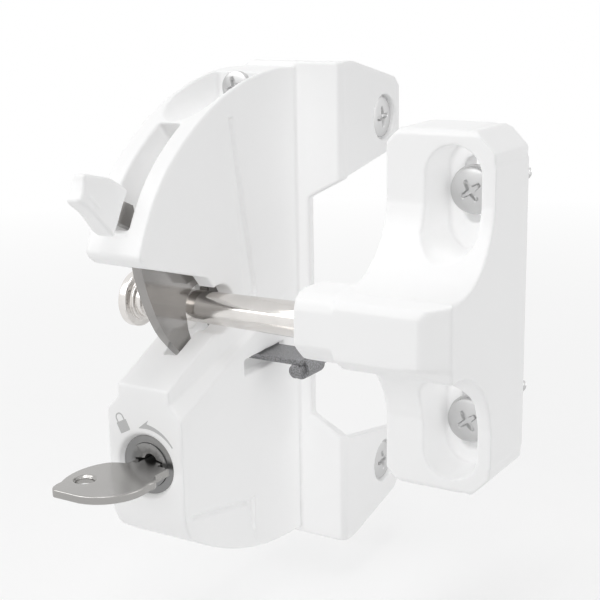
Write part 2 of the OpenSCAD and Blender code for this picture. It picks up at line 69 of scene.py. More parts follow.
def newMaterial(name, colour, metallic, rough):
    m = bpy.data.materials.new(name)
    m.use_nodes = True
    b = m.node_tree.nodes["Principled BSDF"]
    b.inputs["Base Color"].default_value = (*colour, 1)
    b.inputs["Metallic"].default_value = metallic
    b.inputs["Roughness"].default_value = rough
    return m, m.node_tree, b


def noise(tree, scale, detail=4, stretch=None):
    n = tree.nodes.new("ShaderNodeTexNoise")
    n.inputs["Scale"].default_value = scale
    n.inputs["Detail"].default_value = detail
    tc = tree.nodes.new("ShaderNodeTexCoord")
    if stretch:
        mp = tree.nodes.new("ShaderNodeMapping")
        mp.inputs["Scale"].default_value = stretch
        tree.links.new(tc.outputs["Object"], mp.inputs["Vector"])
        tree.links.new(mp.outputs["Vector"], n.inputs["Vector"])
    else:
        tree.links.new(tc.outputs["Object"], n.inputs["Vector"])
    return n


def spread(tree, source, low, high, a=0.3, b=0.7):
    # maps a texture's a..b to low..high
    r = tree.nodes.new("ShaderNodeMapRange")
    r.inputs["From Min"].default_value = a
    r.inputs["From Max"].default_value = b
    r.inputs["To Min"].default_value = low
    r.inputs["To Max"].default_value = high
    tree.links.new(source, r.inputs["Value"])
    return r.outputs["Result"]


def tint(tree, source, low, high, a=0.3, b=0.7):
    r = tree.nodes.new("ShaderNodeValToRGB")
    r.color_ramp.elements[0].position = a
    r.color_ramp.elements[1].position = b
    r.color_ramp.elements[0].color = (*low, 1)
    r.color_ramp.elements[1].color = (*high, 1)
    tree.links.new(source, r.inputs["Fac"])
    return r.outputs["Color"]


def relief(tree, b, source, strength, distance):
    # fine bump from a texture
    n = tree.nodes.new("ShaderNodeBump")
    n.inputs["Strength"].default_value = strength
    n.inputs["Distance"].default_value = distance
    tree.links.new(source, n.inputs["Height"])
    tree.links.new(n.outputs["Normal"], b.inputs["Normal"])


def whitePlastic():
    # nylon moulding: faint clouds in its white, a fine grain in its gloss and surface
    colour = (0.93, 0.93, 0.93)
    m, t, b = newMaterial("whiteMoulding", colour, 0, 0.4)
    cloud = noise(t, 18, 3)
    grain = noise(t, 2600, 2)
    dark = tuple(c * 0.988 for c in colour)
    t.links.new(tint(t, cloud.outputs["Fac"], dark, colour), b.inputs["Base Color"])
    t.links.new(spread(t, grain.outputs["Fac"], 0.36, 0.44), b.inputs["Roughness"])
    relief(t, b, grain.outputs["Fac"], 0.05, 0.00003)
    b.inputs["Specular IOR Level"].default_value = 0.35
    return m


def brushedMetal(name, colour, rough, stretch, depth=0.1, swing=0.05, cloudScale=120):
    # stretch draws the noise out along the brushing; the roughness swings about its middle
    m, t, b = newMaterial(name, colour, 1, rough)
    lines = noise(t, 900, 3, stretch)
    cloud = noise(t, cloudScale, 3)
    dark = tuple(c * 0.9 for c in colour)
    t.links.new(tint(t, cloud.outputs["Fac"], dark, colour), b.inputs["Base Color"])
    t.links.new(spread(t, lines.outputs["Fac"], rough - swing, rough + swing), b.inputs["Roughness"])
    relief(t, b, lines.outputs["Fac"], depth, 0.00002)
    return m


def speckledMetal(name, low, high):
    # cast metal: fine cells from dark to pale
    m, t, b = newMaterial(name, high, 0.85, 0.45)
    v = t.nodes.new("ShaderNodeTexVoronoi")
    v.inputs["Scale"].default_value = 2600
    tc = t.nodes.new("ShaderNodeTexCoord")
    t.links.new(tc.outputs["Object"], v.inputs["Vector"])
    t.links.new(tint(t, v.outputs["Distance"], low, high, 0.2, 0.65), b.inputs["Base Color"])
    t.links.new(spread(t, v.outputs["Distance"], 0.35, 0.6, 0.1, 0.7), b.inputs["Roughness"])
    relief(t, b, v.outputs["Distance"], 0.25, 0.00005)
    return m


def blackPlastic():
    m, t, b = newMaterial("blackPlastic", (0.03, 0.03, 0.03), 0, 0.5)
    g = noise(t, 2000, 2)
    t.links.new(spread(t, g.outputs["Fac"], 0.42, 0.6), b.inputs["Roughness"])
    relief(t, b, g.outputs["Fac"], 0.1, 0.00003)
    return m


def greyPrint():
    m, t, b = newMaterial("greyPrint", (0.52, 0.52, 0.52), 0, 0.5)
    g = noise(t, 3000, 2)
    t.links.new(tint(t, g.outputs["Fac"], (0.50, 0.50, 0.50), (0.54, 0.54, 0.54)), b.inputs["Base Color"])
    relief(t, b, g.outputs["Fac"], 0.1, 0.00002)
    return m


finishes = {
    "shell": whitePlastic(),
    "plate": brushedMetal("catchSteel", (0.37, 0.36, 0.35), 0.12, (1, 0.12, 1), depth=0.03, swing=0.03),
    "rod": brushedMetal("rodSteel", (0.82, 0.795, 0.77), 0.15, (0.08, 1, 1), depth=0.015, swing=0.02),
    "screw": brushedMetal("screwSteel", (0.62, 0.62, 0.62), 0.38, (1, 1, 1), depth=0.1),
    "lock": brushedMetal("lockNickel", (0.27, 0.27, 0.27), 0.34, (1, 0.1, 1), depth=0.04),
    "key": brushedMetal("keyNickel", (0.42, 0.412, 0.40), 0.24, (0.25, 1, 1),
                        depth=0.004, swing=0.012, cloudScale=40),
    "release": speckledMetal("releaseZinc", (0.13, 0.13, 0.13), (0.34, 0.34, 0.35)),
    "black": blackPlastic(),
    "print": greyPrint(),
}

nodeFinish = {
    "latch_housing": "shell", "back_cover": "shell", "finger_lever": "shell",
    "striker_bracket": "shell", "catch_plate": "plate", "striker_rod": "rod",
    "lock_shell": "lock", "lock_plug": "lock", "lock_cam": "lock", "lock_grub": "lock",
    "rod_grub": "lock", "key": "key", "release_plate": "release", "release_rod": "release",
    "spacer_left": "black", "spacer_right": "black",
}


def assign(obj, m):
    if not obj.data.materials:
        obj.data.materials.append(m)
    for i in range(len(obj.data.materials)):
        obj.data.materials[i] = m
    for s in obj.material_slots:
        s.material = m


def nodeObject(name):
    n = nodes[name]
    return n if hasattr(n, "data") else bpy.data.objects[name]


for name in nodes:
    assign(nodeObject(name), finishes[nodeFinish.get(name, "screw")])
print("finishes on", len(nodes), "pieces")


def weldedCopy(node):
    # a node's mesh with its doubles merged, as a new mesh
    mesh = nodeObject(node).data.copy()
    bm = bmesh.new()
    bm.from_mesh(mesh)
    bmesh.ops.remove_doubles(bm, verts=bm.verts, dist=1e-6)
    bm.to_mesh(mesh)
    bm.free()
    return mesh


def finished(obj):
    # the mesh that the object's modifiers leave
    seen = obj.evaluated_get(bpy.context.evaluated_depsgraph_get())
    return bpy.data.meshes.new_from_object(seen)


def trial(mesh, *steps):
    # runs a mesh through modifiers and gives the result
    o = bpy.data.objects.new("trial", mesh)
    bpy.context.collection.objects.link(o)
    for kind, values in steps:
        m = o.modifiers.new(kind, kind)
        for k, v in values.items():
            setattr(m, k, v)
    out = finished(o)
    bpy.data.objects.remove(o)
    return out


def placePiece(name, mesh, material, body, node=None, sharp=None):
    mesh.materials.clear()
    mesh.materials.append(material)
    mesh.polygons.foreach_set("use_smooth", [True] * len(mesh.polygons))
    mesh.polygons.foreach_set("material_index", [0] * len(mesh.polygons))
    if sharp:
        mesh.set_sharp_from_angle(angle=radians(sharp))
    o = bpy.data.objects.new(name, mesh)
    bpy.context.collection.objects.link(o)
    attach(o, body)
    if node:
        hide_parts(node)
    return o


def withBlocks(mesh, blocks):
    # adds closed blocks to a mesh; a block is a stack of sections with equal numbers of points
    bm = bmesh.new()
    bm.from_mesh(mesh)
    for sections in blocks:
        rows = [[bm.verts.new(tuple(c * mm for c in p)) for p in ring] for ring in sections]
        made = [bm.faces.new(rows[0]), bm.faces.new(rows[-1][::-1])]
        for low, high in zip(rows, rows[1:]):
            n = len(low)
            made += [bm.faces.new((low[i], high[i], high[(i + 1) % n], low[(i + 1) % n])) for i in range(n)]
        bmesh.ops.recalc_face_normals(bm, faces=made)
    bm.to_mesh(mesh)
    bm.free()
    return mesh


def evenShading(mesh):
    # smooth shading whose normals lean to the larger faces
    mesh.polygons.foreach_set("use_smooth", [True] * len(mesh.polygons))
    return trial(mesh, ("WEIGHTED_NORMAL", {"mode": "FACE_AREA", "weight": 60}))


moulds = {
    # cubic grid in mm, passes of smoothing, share of the faces that stays
    "housing_moulding": {"grid": 0.45, "passes": 3, "share": 0.36},
    "bracket_moulding": {"grid": 0.5, "passes": 6, "share": 0.6},
    "key_blank": {"grid": 0.22, "passes": 4, "share": 0.5},
}


def moulded(name, node, body, blocks=(), shape=None):
    # the node's surface sampled on a cubic grid, its edges relaxed to moulding radii
    v = moulds[name]
    mesh = trial(withBlocks(weldedCopy(node), blocks),
                 ("REMESH", {"mode": "VOXEL", "voxel_size": v["grid"] * mm, "adaptivity": 0}),
                 ("SMOOTH", {"factor": 0.5, "iterations": v["passes"]}))
    if shape:
        p = np.empty(len(mesh.vertices) * 3)
        mesh.vertices.foreach_get("co", p)
        p = shape(p.reshape(-1, 3) / mm) * mm
        mesh.vertices.foreach_set("co", p.ravel())
    mesh = evenShading(trial(mesh, ("DECIMATE", {"ratio": v["share"]})))
    return placePiece(name, mesh, finishes[nodeFinish[node]], body, node)


def softened(name, node, body, width, segments=3, limit=32):
    # the node's solid with its sharp edges broken by a rounded bevel
    mesh = weldedCopy(node)
    bm = bmesh.new()
    bm.from_mesh(mesh)
    bmesh.ops.dissolve_limit(bm, angle_limit=radians(1), verts=bm.verts, edges=bm.edges)
    bm.to_mesh(mesh)
    bm.free()
    mesh = trial(mesh, ("BEVEL", {"width": width * mm, "segments": segments, "limit_method": "ANGLE",
                                  "angle_limit": radians(limit), "use_clamp_overlap": True,
                                  "harden_normals": False, "miter_outer": "MITER_ARC"}))
    material = finishes[nodeFinish.get(node, "screw")]
    return placePiece(name, evenShading(mesh), material, body, node)


# settings of the housing, in mm
noseLedge = {
    "x": (-22.95, -16.05),
    "outline": ((-77.4, 33.0), (-77.9, 35.2), (-76.8, 36.0), (-72.5, 34.35), (-72.0, 32.0), (-76.0, 31.0)),
}
wedgeGroove = {
    "z": (61.4, 11.0), "front": (-38.3, -32.3), "back": (-35.9, -26.0),   # Y of its long edges at two heights
    "face": -10.5, "depth": (0.9, 1.3),                                    # at its front and back edge
    "lowest": 9.0, "reach": 1.2, "edge": 0.5,
}
chevron = {
    "line": ((-67.5, -45.2), (-34.5, -52.2)), "half": 0.95, "ends": (2.0, 1.0),
    "wedge": ((-36.2, -52.4), (-31.6, -51.2), (-32.1, -66.5)), "flank": 0.45, "depth": 0.95,
    # the sloping wall that they are cut in: X at a Y, and its fall over a length
    "wall": {"x": -6.7, "y": -70.0, "fall": 4.0, "length": 67.0, "reach": 1.3, "top": -40.0},
}
barTravel = {
    "gap": 0.22,
    # low corner, high corner, and the axes along which the walls give way
    "boxes": (((-17.8, -31.9, -31.3), (-14.6, -28.7, -11.0), (0, 1)),
              ((-23.9, -31.9, -39.9), (-11.0, -28.7, -22.4), (0, 1, 2))),
}


def ledgeBlock(v):
    # a small ledge in the nose that closes the end of the catch's slot
    return [[(x, y, z) for y, z in v["outline"]] for x in v["x"]]


def longGroove(p, v):
    # on the gate side: a floor that falls from the groove's front edge to its back edge
    top, bottom = v["z"]
    f = np.clip((top - p[:, 2]) / (top - bottom), 0, 1)
    y0, y1 = (v[k][0] * (1 - f) + v[k][1] * f for k in ("front", "back"))
    u = (p[:, 1] - y0) / (y1 - y0)
    inside = (u > 0) & (u < 1) & (p[:, 2] < top) & (p[:, 2] > v["lowest"])
    inside &= p[:, 0] > v["face"] - v["reach"]
    nearEdge = np.clip(np.minimum(p[:, 1] - y0, y1 - p[:, 1]) / v["edge"], 0, 1)
    floor = v["face"] - (v["depth"][0] * (1 - u) + v["depth"][1] * u) * nearEdge
    q = p.copy()
    q[:, 0] = np.where(inside, np.minimum(p[:, 0], floor), p[:, 0])
    return q


def chevronCut(p, v):
    # below the lock: a V line, then a wedge, in the sloping wall of the block
    w = v["wall"]
    wall = w["x"] - w["fall"] * (p[:, 1] - w["y"]) / w["length"]
    onWall = (np.abs(p[:, 0] - wall) < w["reach"]) & (p[:, 2] < w["top"])
    a, b = (np.array(e) for e in v["line"])
    length = np.linalg.norm(b - a)
    way = (b - a) / length
    along = (p[:, 1:] - a) @ way
    off = np.abs((p[:, 1:] - a) @ np.array([-way[1], way[0]]))
    start, end = v["ends"]
    ends = np.clip(along / start, 0, 1) * np.clip((length + end - along) / end, 0, 1)
    line = v["depth"] * np.clip(1 - off / v["half"], 0, 1) * ends
    corners = [np.array(e) for e in v["wedge"]]
    sides = []
    for e, f in zip(corners, corners[1:] + corners[:1]):
        d = (f - e) / np.linalg.norm(f - e)
        sides.append((p[:, 1:] - e) @ np.array([d[1], -d[0]]))
    wedge = v["depth"] * np.clip(np.min(sides, 0) / v["flank"], 0, 1)
    q = p.copy()
    q[:, 0] = np.where(onWall, np.minimum(p[:, 0], wall - np.maximum(line, wedge)), p[:, 0])
    return q


def clearOfBar(p, v):
    # what lies in the travel of the lock bar goes out to its nearest side
    q = p.copy()
    for low, high, axes in v["boxes"]:
        low, high = np.array(low) - v["gap"], np.array(high) + v["gap"]
        within = np.all((q > low) & (q < high), axis=1)
        toLow, toHigh = q - low, high - q
        gap = np.minimum(toLow, toHigh)[:, list(axes)]
        nearest = np.array(axes)[np.argmin(gap, axis=1)]
        for k in axes:
            moving = within & (nearest == k)
            q[:, k] = np.where(moving, np.where(toLow[:, k] < toHigh[:, k], low[k], high[k]), q[:, k])
    return q


def housingForm(p):
    # the cuts of the housing, one after the other
    return clearOfBar(chevronCut(longGroove(p, wedgeGroove), chevron), barTravel)


moulded("housing_moulding", "latch_housing", "frame", [ledgeBlock(noseLedge)], housingForm)

# settings of the striker's bracket, in mm
cornerFill = {
    "back": 0.0, "front": -23.0, "top": 59.3, "side": 62.5, "middle": 8.5,
    "cut": 6.2, "old": 9.2,               # the corner's cut here and in the CAD
    "edge": 1.4, "rim": (2.0, 1.2),       # bevel at the front, and at the back (length, drop)
    "sunk": 0.6, "root": (0.4, 0.8),      # how far the hidden corners lie in the bracket
}
facetFill = {
    "start": 54.9, "old": 48.6, "front": -53.0, "side": 62.5, "sideY": -49.2,
    "sections": ((1.6, 0), (15.1, 0), (17.5, 1), (18.5, 3.4)),    # Z, and the way back from the front
    "inner": 0.8, "sunk": (0.4, 6.0), "proud": 0.01, "along": 2.0,
}


def cornerBlocks(v):
    # brings the corner cuts on the gate side from the CAD's size to the measured one
    rimLength, rimDrop = v["rim"]
    ends = ((v["front"], v["edge"]), (v["front"] + v["edge"], 0),
            (v["back"] - rimLength, 0), (v["back"], rimDrop))
    out = []
    for s in (1, -1):
        rings = []
        for y, drop in ends:
            a = (v["side"] - v["old"] - v["sunk"], v["top"] - max(drop, v["sunk"]))
            b = (v["side"] - v["cut"] + drop, v["top"] - drop)
            c = (v["side"], v["top"] - v["cut"])
            d = (v["side"] - v["root"][0], v["top"] - v["old"] - v["root"][1])
            rings.append([(x, y, v["middle"] + s * (z - v["middle"])) for x, z in (a, b, c, d)])
        out.append(rings)
    return out


def facetBlock(v):
    # one larger facet at the gate end of the boss in place of the CAD's shallow bevel
    slope = (v["sideY"] - v["front"]) / (v["side"] - v["start"])
    inner = v["old"] - v["inner"]
    rings = []
    for z, back in v["sections"]:
        y = v["front"] + back
        x = v["start"] + (y - v["front"]) / slope
        rings.append([(inner, y + v["sunk"][0], z), (v["old"], y, z), (x, y, z),
                      (v["side"], v["sideY"] + v["proud"], z), (v["side"], v["sideY"] + v["along"], z),
                      (inner, v["front"] + v["sunk"][1], z)])
    return rings


moulded("bracket_moulding", "striker_bracket", "striker",
        cornerBlocks(cornerFill) + [facetBlock(facetFill)])
print("mouldings rounded")

bowTip = {"from": -28.4, "share": 0.35}


def drawTip(p):
    # the far tip of the bow is rounder than the blank's: what lies past X "from" comes in by a share
    q = p.copy()
    q[:, 0] += bowTip["share"] * np.maximum(bowTip["from"] - p[:, 0], 0)
    return q


moulded("key_blank", "key", "key", shape=drawTip)

softPieces = (
    ("catch_blade", "catch_plate", "catch", "steel_plate", 0.22),
    ("plug_body", "lock_plug", "plug", "lock_metal", 0.15),
    ("shell_body", "lock_shell", "frame", "lock_metal", 0.2),
    ("washer_upper", "striker_washer_upper", "striker", "screw_steel", 0.15),
    ("washer_lower", "striker_washer_lower", "striker", "screw_steel", 0.15),
    ("release_blade", "release_plate", "release", "release_metal", 0.2),
    ("release_shaft", "release_rod", "release", "release_metal", 0.3),
)
for name, node, body, slotName, width in softPieces:
    softened(name, node, body, width)
print("metal edges broken on", len(softPieces), "pieces")


def ringFaces(rows, count):
    # quads between closed rings of points, one ring after the other
    a, b = np.meshgrid(np.arange(rows - 1), np.arange(count), indexing="ij")
    near, beyond = a * count, (a + 1) * count
    b1 = (b + 1) % count
    return np.stack([near + b, beyond + b, beyond + b1, near + b1], -1).reshape(-1, 4)


def surface(name, points, faces, material, body, node=None, caps=(), sharp=32):
    mesh = bpy.data.meshes.new(name)
    verts = np.asarray(points).reshape(-1, 3) * mm
    mesh.from_pydata(verts.tolist(), [], np.asarray(faces).tolist() + [list(map(int, c)) for c in caps])
    mesh.validate()
    bm = bmesh.new()
    bm.from_mesh(mesh)
    bmesh.ops.remove_doubles(bm, verts=bm.verts, dist=1e-7)
    bmesh.ops.dissolve_degenerate(bm, dist=1e-7, edges=bm.edges)
    bmesh.ops.recalc_face_normals(bm, faces=bm.faces)
    bm.to_mesh(mesh)
    bm.free()
    return placePiece(name, mesh, material, body, node, sharp)


def filletedProfile(corners, steps=6):
    # corners are (along, radius, fillet); each is replaced by an arc of its fillet radius
    c = np.array(corners, float)
    p, f = c[:, :2], c[:, 2]
    out = [p[:1]]
    for i in range(1, len(p) - 1):
        a, b = p[i - 1] - p[i], p[i + 1] - p[i]
        la, lb = np.linalg.norm(a), np.linalg.norm(b)
        a, b = a / la, b / lb
        half = np.arccos(np.clip(a @ b, -1, 1)) / 2
        if f[i] <= 0 or abs(half - pi / 2) < 0.02:
            out.append(p[i:i + 1])
            continue
        cut = min(f[i] / np.tan(half), 0.48 * la, 0.48 * lb)
        r = cut * np.tan(half)
        middle = p[i] + (a + b) / np.linalg.norm(a + b) * r / np.sin(half)
        start = p[i] + a * cut - middle
        t = np.linspace(0, 1, steps)[:, None]
        arc = start * (1 - t) + (p[i] + b * cut - middle) * t
        out.append(middle + arc / np.linalg.norm(arc, axis=1)[:, None] * r)
    out.append(p[-1:])
    return np.concatenate(out)


def turned(profile, around, count=96, lift=None):
    # the profile (X, radius) carried round the line along X through around (Y, Z)
    t = np.linspace(0, 2 * pi, count, endpoint=False)
    s, r = profile[:, :1], profile[:, 1:2]
    along = np.repeat(s, count, 1)
    u, v = r * np.cos(t), r * np.sin(t)
    if lift is not None:
        along, u, v = lift(along, u, v, t)
    return np.stack([along, around[0] + u, around[1] + v], -1)


lever = {
    # outlines (Y, Z) of the gate side and of the far side, from the top corner round by the back
    "near": ((-89.1, 52.0), (-85.4, 51.2), (-81.4, 50.2), (-78.6, 48.7), (-76.4, 47.2), (-74.9, 45.8),
             (-76.5, 43.2), (-77.9, 40.6), (-79.2, 37.9), (-80.1, 36.3), (-80.9, 34.9), (-83.3, 37.4),
             (-85.2, 39.6), (-86.8, 41.4), (-88.8, 43.3), (-90.8, 45.5), (-89.95, 47.65), (-89.5, 49.9)),
    "far": ((-87.7, 51.65), (-84.6, 50.9), (-81.0, 49.9), (-78.4, 48.5), (-76.4, 47.1), (-75.0, 45.7),
            (-76.3, 43.1), (-77.4, 40.5), (-78.4, 37.8), (-78.7, 36.0), (-79.2, 34.5), (-81.6, 35.6),
            (-84.0, 38.3), (-86.4, 41.1), (-88.9, 43.1), (-91.1, 45.0), (-90.1, 47.1), (-88.7, 49.6)),
    "faces": (-17.1, -23.9), "round": 0.75,
    "rings": {"near": 22, "rim": 6, "side": 6, "far": 9},
    # the near face runs back towards the tip, from a Y on, as a power of the way
    "lean": {"from": -76.0, "length": 14.0, "depth": 2.0, "power": 1.8},
    "scoop": {"centre": (-83.6, 44.6), "reach": (4.8, 5.6), "depth": 0.35},
    "crease": {"from": (-88.3, 46.4), "to": (-84.4, 42.0), "height": 0.3, "width": 0.4},
}
rivetEnd = {"centre": (-76.4, 40.5), "radius": 1.05, "from": -21.0, "to": -17.93, "count": 48}


def throughPoints(points, steps=7):
    # closed Catmull-Rom curve through the points
    p = np.array(points)
    a, b, c, d = np.roll(p, 1, 0), p, np.roll(p, -1, 0), np.roll(p, -2, 0)
    t = np.linspace(0, 1, steps, endpoint=False)[None, :, None]
    a, b, c, d = (q[:, None] for q in (a, b, c, d))
    return (0.5 * (2 * b + (c - a) * t + (2 * a - 5 * b + 4 * c - d) * t ** 2
                   + (3 * b - a - 3 * c + d) * t ** 3)).reshape(-1, 2)


def drawnIn(ring, by):
    # the ring moved inwards along its own normals, smoothed where corners crowd
    step = np.roll(ring, -1, 0) - np.roll(ring, 1, 0)
    step /= np.linalg.norm(step, axis=1)[:, None]
    out = ring + by * np.c_[step[:, 1], -step[:, 0]]
    for i in range(3):
        out = 0.5 * out + 0.25 * (np.roll(out, 1, 0) + np.roll(out, -1, 0))
    return out


def leverRings(v, near, far):
    # depths and outlines: from the middle of the near face out, round the rim, across, and in to the middle
    r, n = v["round"], v["rings"]
    width = v["faces"][0] - v["faces"][1]
    hub = np.array(v["scoop"]["centre"])
    sweep = np.radians(np.linspace(0, 90, n["rim"]))
    rows = [(0, hub + (drawnIn(near, r) - hub) * k) for k in np.linspace(0, 1, n["near"])[:-1]]
    rows += [(r * (1 - np.cos(a)), drawnIn(near, r * (1 - np.sin(a)))) for a in sweep]
    rows += [(width * k, near * (1 - k) + far * k) for k in np.linspace(0.2, 0.8, n["side"])]
    rows += [(width - r * (1 - np.cos(a)), drawnIn(far, r * (1 - np.sin(a)))) for a in sweep[::-1]]
    rows += [(width, hub + (drawnIn(far, r) - hub) * k) for k in np.linspace(1, 0, n["far"])[1:]]
    return np.array([d for d, _ in rows])[:, None], np.array([q for _, q in rows])


def leverRelief(v, yz):
    # how far the near face lies back: its lean and its scoop, less the crease
    y, z = yz[..., 0], yz[..., 1]
    n, s, c = v["lean"], v["scoop"], v["crease"]
    lean = n["depth"] * np.clip((n["from"] - y) / n["length"], 0, 1) ** n["power"]
    d = ((y - s["centre"][0]) / s["reach"][0]) ** 2 + ((z - s["centre"][1]) / s["reach"][1]) ** 2
    scoop = s["depth"] * np.clip(1 - d, 0, 1)
    a, b = np.array(c["from"]), np.array(c["to"])
    length = np.linalg.norm(b - a)
    way = (b - a) / length
    along = (yz - a) @ way / length
    off = (yz - a) @ np.array([-way[1], way[0]])
    ends = np.clip(1 - np.abs(2 * along - 1) ** 4, 0, 1)
    return lean + scoop - c["height"] * np.exp(-(off / c["width"]) ** 2) * ends


def makeLever(v):
    # two outlines joined across the lever: x = near face - depth - relief * share
    near, far = throughPoints(v["near"]), throughPoints(v["far"])
    depth, yz = leverRings(v, near, far)
    # the relief is whole on the near face and fades across the sides
    fade = np.clip(1 - depth / (v["faces"][0] - v["faces"][1]), 0, 1)
    share = np.where(depth < v["round"] * 1.01, 1, fade)
    x = v["faces"][0] - depth - leverRelief(v, yz) * share
    g = np.stack([x, yz[..., 0], yz[..., 1]], -1)
    o = surface("lever_moulding", g, ringFaces(len(g), len(near)), finishes["shell"], "catch",
                "finger_lever", sharp=60)
    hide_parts("lever_rivet_front")


def makeRivetEnd(v):
    # the rear rivet as a flush end in the steel arm
    end = np.array([(v["from"], 0), (v["from"], v["radius"]), (v["to"], v["radius"]), (v["to"], 0)])
    g = turned(end, v["centre"], v["count"])
    surface("rivet_end", g, ringFaces(len(end), v["count"]), finishes["plate"], "catch",
            "lever_rivet_rear", sharp=40)


makeLever(lever)
makeRivetEnd(rivetEnd)
print("lever lofted")

rodShape = {
    "line": (-44.5, 8.6), "count": 128,
    # (X, radius, fillet), from the head's end to the far end
    "corners": ((-42.2, 0, 0), (-42.2, 5.7, 0.6), (-40.6, 8.2, 0.9), (-37.95, 8.2, 0.6),
                (-37.85, 6.2, 0.2), (-36.8, 6.2, 0.4), (-36.75, 5.2, 0.15), (-35.1, 5.2, 0.4),
                (-34.9, 4.36, 0.3), (-20, 4.54, 0), (18.5, 5.0, 0), (56.1, 5.0, 0.6), (56.1, 0, 0)),
}


def makeRod(v):
    # the profile with its corners filleted, turned about the rod's line
    p = filletedProfile(v["corners"])
    g = turned(p, v["line"], v["count"])
    surface("rod_and_head", g, ringFaces(len(p), v["count"]), finishes["rod"], "striker",
            "striker_rod", sharp=40)


makeRod(rodShape)

screwForm = {
    "cross": 3.3, "arm": (0.85, 0.45), "sink": 1.15,   # recess: reach, half widths from middle to end, depth
    "flank": 0.22, "runOut": (1.3, 0.7),               # its walls, and the length and power of its ends
    "lip": 0.12, "edge": 0.15, "rings": 52, "count": 96,
    "neck": 0.9, "under": 0.2,                         # share of the shank, and its height under the head
    "pitch": 2.6, "thread": 0.225, "root": (5, 0.4), "step": 0.25,
    "point": 2.6, "taper": ((2.4, 0.82), (1.0, 0.45)), "end": (0.1, 0.25),
}
gateScrew = {"axis": "y", "turn": 35, "head": 6.3, "crown": 0.9,
             "top": 11.8, "seat": 9.1, "shank": 2.4, "tip": -30}
earScrew = {"axis": "x", "turn": 8, "head": 6.2, "crown": 0.7,
            "top": 4.9, "seat": 3.0, "shank": 2.4, "tip": -30}
postScrew = {"axis": "y", "turn": 20, "head": 4.7, "crown": 0.7,
             "top": 21.4, "seat": 19.1, "shank": 2.4, "tip": -30}


def armDepth(f, out, across):
    # depth of one pair of the cross's arms, as a share of the whole
    middle, end = f["arm"]
    half = middle + (end - middle) * out / f["cross"]
    length, power = f["runOut"]
    walls = np.clip((half - across) / f["flank"] + 0.5, 0, 1)
    return walls * np.clip((f["cross"] - out) / length, 0, 1) ** power


def screwProfile(f, v):
    # (along, radius) of the head's dome, its rim, the shank and the point, in four parts
    n = np.linspace(0, 1, f["rings"])
    dome = np.c_[v["top"] - v["crown"] * (1 - np.cos(n * pi / 2)), v["head"] * np.sin(n * pi / 2 * 0.999)]
    rim = np.array([(v["top"] - v["crown"] - f["lip"], v["head"]), (v["seat"] + f["edge"], v["head"]),
                    (v["seat"], v["head"] - f["edge"]), (v["seat"], v["shank"] * f["neck"])])
    s = np.arange(v["seat"] - f["under"], v["tip"] + f["point"], -f["step"])
    shank = np.c_[s, np.full(len(s), v["shank"])]
    taper = [(v["tip"] + a, v["shank"] * r) for a, r in f["taper"]]
    point = np.array(taper + [(v["tip"] + f["end"][0], f["end"][1]), (v["tip"], 0)])
    return dome, rim, shank, point


def screwPiece(name, node, body, around, v):
    # a domed head with a cross recess, a neck, and a shank whose thread winds with the angle
    f = screwForm
    dome, rim, shank, point = screwProfile(f, v)
    profile = np.r_[dome, rim, shank, point]
    row = np.arange(len(profile))[:, None]
    inDome = row < len(dome)
    inShank = (row >= len(dome) + len(rim)) & (row < len(profile) - len(point))
    c, s = np.cos(radians(v["turn"])), np.sin(radians(v["turn"]))

    def lift(along, u, w, t):
        a, b = np.abs(u * c + w * s), np.abs(-u * s + w * c)
        sink = np.maximum(armDepth(f, a, b), armDepth(f, b, a)) * f["sink"]
        along = along - np.where(inDome, sink, 0)
        phase = (t / (2 * pi) + along / f["pitch"]) % 1
        root = 1 - f["thread"] * np.clip(np.abs(phase - 0.5) * f["root"][0] - f["root"][1], 0, 1)
        k = np.where(inShank, root, 1)
        return along, u * k, w * k

    g = turned(profile, around, f["count"], lift)
    if v["axis"] == "y":
        # the head faces -Y: along X becomes along -Y, and the piece stays right-handed
        g = np.stack([g[..., 1], -g[..., 0], g[..., 2]], -1)
    surface(name, g, ringFaces(len(profile), f["count"]), finishes["screw"], body,
            node, sharp=40)


for end, z in (("upper", 41.5), ("lower", -24.5)):
    screwPiece("gate_screw_" + end, "striker_screw_" + end, "striker", (50.34, z), gateScrew)
for end, z in (("upper", 56.3), ("lower", -56.3)):
    screwPiece("side_screw_" + end, "ear_screw_" + end, "frame", (24.0, z), earScrew)
screwPiece("front_screw", "post_screw", "frame", (-19.5, 68.0), postScrew)
print("rod and screws turned")

arrowSign = {"centre": (-19.4, -31.3), "from": 36.0, "to": 86.0, "radius": 11.6, "width": (0.35, 1.35),
             "tip": (100.5, 10.9), "barb": (83.5, 13.6), "points": 28}
padlockSign = {"centre": (-26.6, -20.9), "lean": 27.0, "size": (3.6, 3.3), "corner": 0.25,
               "bow": 1.2, "legs": 1.0, "foot": 0.05, "stroke": 0.4}
signFace = {"y": -70.0, "height": 0.05, "sunk": 0.05}


def raised(name, outline):
    # flat outline in X and Z, raised from the face towards the front and sunk a little in it
    n = len(outline)
    front = np.c_[outline[:, 0], np.full(n, signFace["y"] - signFace["height"]), outline[:, 1]]
    back = np.c_[outline[:, 0], np.full(n, signFace["y"] + signFace["sunk"]), outline[:, 1]]
    i = np.arange(n)
    sides = np.stack([i, (i + 1) % n, n + (i + 1) % n, n + i], -1)
    surface(name, np.r_[front, back], sides, finishes["print"], "frame",
            caps=[i, 2 * n - 1 - i], sharp=20)


def polar(centre, angle, radius):
    # the point at an angle and a radius from the centre
    return centre + radius * np.array([np.cos(radians(angle)), np.sin(radians(angle))])


